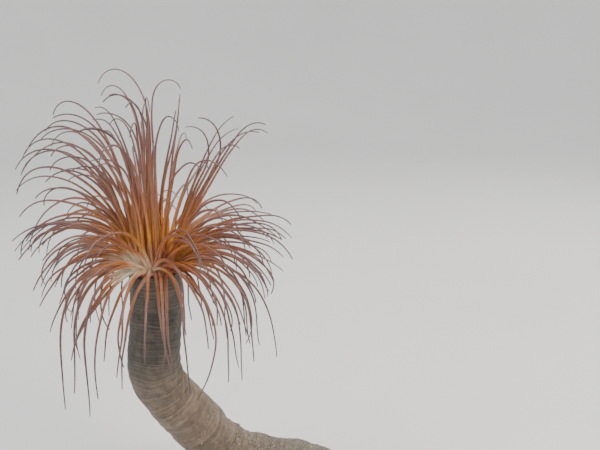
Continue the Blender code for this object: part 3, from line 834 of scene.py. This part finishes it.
def build_body():
    """One skin from the column in the tube's mouth over the margin and disc into the gullet."""
    draw = random.Random(5)
    last = len(BODY_STATIONS) - 1.0
    place = np.linspace(0.0, last, BODY_ROWS)
    numbers = np.arange(len(BODY_STATIONS))
    radius, height, slit, depth = (np.interp(place, numbers, column) for column in zip(*BODY_STATIONS))
    radius = smooth(radius, BODY_SMOOTH_OVER)
    height = smooth(height, BODY_SMOOTH_OVER)
    turn = PI2 * np.arange(BODY_SIDES) / BODY_SIDES
    around, along = np.meshgrid(turn, place)
    fold = np.sin(FOLDS * around + ripples(draw, around, along, FOLD_WAVE))
    fold = fold * FOLD_DEPTH * depth[:, None]
    fold += ripples(draw, around, along, SKIN_WAVE)
    wide = radius[:, None] * (1.0 + SLIT_LONGER * slit[:, None])
    narrow = radius[:, None] * (1.0 - SLIT_NARROWER * slit[:, None])
    on_side = np.arange(BODY_ROWS)[:, None] < BODY_ROWS * COLUMN_ROWS
    spread = np.where(on_side, fold, DISC_SPREAD * fold)
    lift = np.where(on_side, 0.0, fold)
    slit_way = outward_at(math.radians(MOUTH_ANGLE))
    lengthwise = ((wide + spread) * np.cos(around))[..., None] * slit_way
    crosswise = ((narrow + spread) * np.sin(around))[..., None] * np.cross(UP, slit_way)
    rings = RIM + lengthwise + crosswise + (height[:, None] + lift)[..., None] * UP
    surface = Surface()
    surface.add(rings, WHOLE_MAP, {"lie": rings - RIM, "share": place[:, None] / last})
    surface.make("body_skin", body_material(), "disc_skin", "column", "oral_disc")


# Materials

def new_material(name, **sockets):
    made = bpy.data.materials.new(name)
    made.use_nodes = True
    shader = made.node_tree.nodes["Principled BSDF"]
    for socket, value in sockets.items():
        shader.inputs[socket.replace("_", " ")].default_value = value
    return made, shader


def node(material, kind, inputs=(), **settings):
    """New shader node; inputs are pairs of socket and a value or another node's output."""
    made = material.node_tree.nodes.new(kind)
    for name, value in settings.items():
        setattr(made, name, value)
    for socket, value in inputs:
        if isinstance(value, bpy.types.NodeSocket):
            material.node_tree.links.new(value, made.inputs[socket])
        else:
            made.inputs[socket].default_value = value
    return made


def attribute(material, name, output="Fac"):
    return node(material, "ShaderNodeAttribute", attribute_name=name).outputs[output]


def object_place(material):
    return node(material, "ShaderNodeTexCoord").outputs["Object"]


def maths(material, operation, first, second=0.0, third=0.0):
    made = node(material, "ShaderNodeMath", ((0, first), (1, second), (2, third)), operation=operation)
    return made.outputs[0]


def ramp(material, factor, stops):
    """Colour or grey over a factor, from stops of (place, value)."""
    made = node(material, "ShaderNodeValToRGB", ((0, factor),))
    elements = made.color_ramp.elements
    while len(elements) < len(stops):
        elements.new(1.0)
    for element, (place, value) in zip(elements, stops):
        element.position = place
        element.color = (*value, 1.0) if isinstance(value, tuple) else (value, value, value, 1.0)
    return made.outputs[0]


def mix(material, factor, first, second, blend="MIX"):
    made = node(material, "ShaderNodeMix", ((0, factor), (6, first), (7, second)), data_type="RGBA",
                blend_type=blend)
    return made.outputs[2]


def shade(material, factor, colour, field, *stops):
    """The colour, darkened by a field's ramp."""
    return mix(material, factor, colour, ramp(material, field, stops), "MULTIPLY")


def rough_noise(material, place, scale, stretch=(1.0, 1.0, 1.0), detail=3.0, roughness=0.55):
    """Noise at a scale per metre; stretch scales each axis of its place first."""
    moved = node(material, "ShaderNodeMapping", ((0, place), (3, stretch))).outputs[0]
    inputs = (("Vector", moved), ("Scale", scale), ("Detail", detail), ("Roughness", roughness))
    return node(material, "ShaderNodeTexNoise", inputs).outputs[0]


def bump(material, shader, height, distance, strength):
    inputs = (("Height", height), ("Distance", distance), ("Strength", strength))
    link(material, node(material, "ShaderNodeBump", inputs).outputs[0], shader, "Normal")


def link(material, output, shader, socket):
    material.node_tree.links.new(output, shader.inputs[socket])


def rgba(*colour):
    return (*colour, 1.0)


def strand_material(name, stops, pale_root, roughness):
    """Translucent skin of tentacles: colour along them, paler or redder roots, clouds and specks."""
    made, shader = new_material(
        name, Subsurface_Weight=0.55, Subsurface_Scale=0.0022,
        Subsurface_Radius=(1.0, 0.58, 0.28), Coat_Weight=0.28, Coat_Roughness=0.20)
    place = attribute(made, "lie", "Vector")
    run = node(made, "ShaderNodeSeparateXYZ", ((0, place),)).outputs[0]
    decimetres = maths(made, "MULTIPLY", run, 10.0)
    share = attribute(made, "share")
    clouds = rough_noise(made, place, 1.0, (110.0, 330.0, 330.0))
    off_tone = maths(made, "SUBTRACT", attribute(made, "tone"), 0.5)
    shifted = maths(made, "MULTIPLY_ADD", off_tone, 0.18, share)
    shifted = maths(made, "MULTIPLY_ADD", maths(made, "SUBTRACT", clouds, 0.5), 0.20, shifted)
    colour = ramp(made, shifted, stops)
    ruddy_part = ramp(made, decimetres, ((0.0, 1.0), (0.12, 0.88), (0.27, 0.0)))
    ruddy = maths(made, "MULTIPLY", ruddy_part, attribute(made, "ruddy"))
    colour = mix(made, ruddy, colour, rgba(0.250, 0.036, 0.018))
    pale_part = ramp(made, decimetres, ((0.0, 1.0), (0.09, 0.92), (0.22, 0.0)))
    pale = maths(made, "MULTIPLY", pale_part, attribute(made, "pale"))
    colour = mix(made, pale, colour, rgba(*pale_root))
    specks = rough_noise(made, place, 2600.0, detail=2.0)
    colour = shade(made, 0.45, colour, specks, (0.34, 0.55), (0.52, 1.0))
    belts = rough_noise(made, place, 1.0, (230.0, 50.0, 50.0), 1.0)
    colour = shade(made, 0.32, colour, belts, (0.38, 0.55), (0.55, 1.0))
    link(made, colour, shader, "Base Color")
    wrinkles = rough_noise(made, place, 1.0, (1700.0, 420.0, 420.0), 2.0)
    bump(made, shader, maths(made, "ADD", wrinkles, specks), 0.00014, 0.45)
    link(made, ramp(made, clouds, ((0.3, roughness - 0.08), (0.7, roughness + 0.06))), shader,
         "Roughness")
    return made


def tentacle_material():
    stops = ((0.0, (0.66, 0.400, 0.085)), (0.09, (0.60, 0.272, 0.033)), (0.26, (0.36, 0.126, 0.028)),
             (0.50, (0.208, 0.073, 0.036)), (0.76, (0.125, 0.050, 0.044)), (1.0, (0.060, 0.031, 0.038)))
    return strand_material("tentacle_skin", stops, (0.92, 0.80, 0.62), 0.42)


def labial_material():
    stops = ((0.0, (0.70, 0.40, 0.150)), (0.25, (0.74, 0.360, 0.060)), (0.60, (0.68, 0.300, 0.048)),
             (1.0, (0.54, 0.210, 0.045)))
    return strand_material("labial_skin", stops, (0.78, 0.60, 0.42), 0.40)


def body_material():
    made, shader = new_material(
        "disc_skin", Subsurface_Weight=0.3, Subsurface_Scale=0.0025, Roughness=0.42,
        Subsurface_Radius=(1.0, 0.45, 0.25), Coat_Weight=0.15, Coat_Roughness=0.22)
    place = attribute(made, "lie", "Vector")
    share = attribute(made, "share")
    mottles = rough_noise(made, place, 260.0)
    colour = ramp(made, share, (
        (0.0, (0.20, 0.105, 0.080)), (0.20, (0.38, 0.105, 0.060)), (0.36, (0.50, 0.170, 0.075)),
        (0.55, (0.42, 0.135, 0.050)), (0.74, (0.52, 0.260, 0.120)), (0.86, (0.34, 0.085, 0.050)),
        (1.0, (0.14, 0.040, 0.035))))
    colour = shade(made, 0.6, colour, mottles, (0.30, 0.50), (0.66, 1.0))
    link(made, colour, shader, "Base Color")
    fine = rough_noise(made, place, 1500.0, detail=2.0)
    bump(made, shader, maths(made, "ADD", fine, mottles), 0.0003, 0.6)
    return made


def tube_material():
    """Felt of the tube: dark, mottled and streaked above, warmer and banded below."""
    made, shader = new_material("tube_felt", Roughness=0.9, Sheen_Weight=0.10, Sheen_Roughness=0.6)
    place = attribute(made, "lie", "Vector")
    spot = object_place(made)
    along = node(made, "ShaderNodeSeparateXYZ", ((0, place),)).outputs[0]
    blotches = rough_noise(made, spot, 85.0, detail=6.0, roughness=0.68)
    upper = ramp(made, blotches, (
        (0.34, (0.053, 0.044, 0.035)), (0.50, (0.100, 0.081, 0.061)), (0.64, (0.166, 0.131, 0.098))))
    threads = rough_noise(made, place, 1.0, (24.0, 420.0, 420.0), 4.0)
    upper = shade(made, 0.6, upper, threads, (0.32, 0.50), (0.66, 1.0))
    algae = ramp(made, rough_noise(made, spot, 80.0), ((0.52, 0.0), (0.68, 0.30)))
    upper = mix(made, algae, upper, rgba(0.045, 0.053, 0.029))
    upper = shade(made, 1.0, upper, maths(made, "DIVIDE", along, TUBE_END), (0.02, 0.85),
                  (0.07, 0.54), (0.11, 0.56), (0.15, 0.95))
    wide = rough_noise(made, spot, 38.0)
    shifted = maths(made, "MULTIPLY_ADD", maths(made, "SUBTRACT", wide, 0.5), 0.06, along)
    shifted = maths(made, "DIVIDE", shifted, TUBE_END)
    lower = ramp(made, shifted, (
        (0.13, (0.150, 0.112, 0.080)), (0.20, (0.228, 0.162, 0.110)), (0.36, (0.205, 0.149, 0.105)),
        (0.46, (0.160, 0.129, 0.098)), (1.0, (0.175, 0.143, 0.110))))
    stain = rough_noise(made, spot, 160.0, detail=6.0, roughness=0.68)
    lower = shade(made, 0.9, lower, stain, (0.32, 0.42), (0.62, 1.0))
    sand = rough_noise(made, spot, 950.0, roughness=0.7)
    sandy = ramp(made, shifted, ((0.24, 0.0), (0.40, 1.0)))
    sandy = maths(made, "MULTIPLY", sandy, ramp(made, sand, ((0.50, 0.0), (0.64, 0.75))))
    lower = mix(made, sandy, lower, rgba(0.330, 0.275, 0.210))
    sleeve = attribute(made, "sleeve")
    colour = mix(made, sleeve, lower, upper)
    colour = shade(made, 0.9, colour, attribute(made, "band"), (0.0, 0.70), (1.0, 1.0))
    # painted shade: the colour is darker in the grooves between the growth bands, more so below the
    # sleeve
    groove = attribute(made, "groove")
    dark = mix(made, sleeve, ramp(made, groove, ((0.10, 1.0), (0.90, 0.34))),
               ramp(made, groove, ((0.10, 1.0), (0.90, 0.66))))
    colour = mix(made, 1.0, colour, dark, "MULTIPLY")
    # painted highlight: the raised lip beside each groove is paler, in patches on the dark upper sleeve
    faint = ramp(made, rough_noise(made, spot, 60.0, detail=2.0), ((0.40, 0.08), (0.60, 0.55)))
    pale = maths(made, "MULTIPLY", attribute(made, "lip"), maths(made, "MULTIPLY", faint, sleeve))
    colour = mix(made, pale, colour, rgba(0.200, 0.180, 0.140))
    link(made, colour, shader, "Base Color")
    felt = rough_noise(made, place, 1.0, (900.0, 2600.0, 2600.0), 4.0, 0.7)
    grit = rough_noise(made, spot, 1500.0, roughness=0.7)
    bump(made, shader, maths(made, "ADD", felt, grit), 0.00032, 0.8)
    return made


def grain_material():
    made, shader = new_material("sand_grains", Roughness=0.55)
    colour = ramp(made, attribute(made, "tone"), (
        (0.0, (0.060, 0.052, 0.046)), (0.30, (0.150, 0.118, 0.088)), (0.62, (0.270, 0.220, 0.165)),
        (0.86, (0.380, 0.325, 0.260)), (0.96, (0.520, 0.470, 0.400)), (1.0, (0.340, 0.200, 0.160))))
    clouds = rough_noise(made, object_place(made), 1400.0)
    colour = shade(made, 0.6, colour, clouds, (0.3, 0.65), (0.7, 1.1))
    link(made, colour, shader, "Base Color")
    bump(made, shader, clouds, 0.0001, 0.6)
    return made


# Stage, lights and camera

def build_stage():
    """Floor that rises all round in one smooth sweep, so that no horizon shows."""
    profile = [(radius, 0.0) for radius in (0.01, 0.6, 1.2, FLOOR_FLAT)]
    for angle in range(6, 91, 6):
        out, up = math.sin(math.radians(angle)), 1.0 - math.cos(math.radians(angle))
        profile.append((FLOOR_FLAT + FLOOR_SWEEP * out, FLOOR_SWEEP * up))
    profile.append((FLOOR_FLAT + FLOOR_SWEEP, FLOOR_TOP))
    outward = outward_at(PI2 * np.arange(FLOOR_SIDES) / FLOOR_SIDES)
    points = [tuple(radius * out + (height - FLOOR_DROP) * UP)
              for radius, height in profile for out in outward]
    numbers = np.arange(len(points)).reshape(len(profile), FLOOR_SIDES)
    faces = ring_faces(numbers) + [numbers[0].tolist()]
    mesh = bpy.data.meshes.new("floor")
    mesh.from_pydata(points, [], faces)
    mesh.shade_smooth()
    made, shader = new_material("floor_plaster", Roughness=0.9)
    place = object_place(made)
    tone = rough_noise(made, place, 3.0)
    plaster = ramp(made, tone, ((0.3, (0.90, 0.89, 0.87)), (0.7, (0.94, 0.93, 0.91))))
    # painted light and shade: the floor is darker near the middle, where the softboxes light it most,
    # and lighter towards the sweep
    far = node(made, "ShaderNodeVectorMath", ((0, place),), operation="LENGTH").outputs["Value"]
    far = maths(made, "DIVIDE", far, FLOOR_FLAT + FLOOR_SWEEP)
    link(made, shade(made, 1.0, plaster, far, (0.15, 0.78), (0.70, 1.0)), shader, "Base Color")
    mesh.materials.append(made)
    floor = new_object("floor", mesh)


def build_background():
    world = bpy.data.worlds.new("studio")
    world.use_nodes = True
    background = world.node_tree.nodes["Background"]
    background.inputs["Color"].default_value = rgba(0.80, 0.82, 0.86)
    background.inputs["Strength"].default_value = 0.82
    bpy.context.scene.world = world


def softbox(name, place, size, power, colour):
    light = bpy.data.lights.new(name, "AREA")
    light.shape = "RECTANGLE"
    light.size, light.size_y = size
    light.energy = power
    light.color = colour
    lamp = new_object(name, light)
    lamp.location = place
    lamp.rotation_euler = (Vector(LIGHT_AIM) - Vector(place)).to_track_quat("-Z", "Y").to_euler()


def build_camera():
    camera = bpy.data.cameras.new("camera")
    camera.sensor_width = 36.0
    camera.lens = 49.44
    place = new_object("camera", camera)
    place.location = Vector(RIM) + Vector(CAMERA_FROM_RIM)
    place.rotation_euler = (math.radians(75.0), 0.0, 0.0)
    bpy.context.scene.camera = place


build_camera()
build_stage()
build_background()
for light_row in LIGHTS:
    softbox(*light_row)
build_tube()
build_grains()
build_body()
build_labial_tentacles()
build_marginal_tentacles()
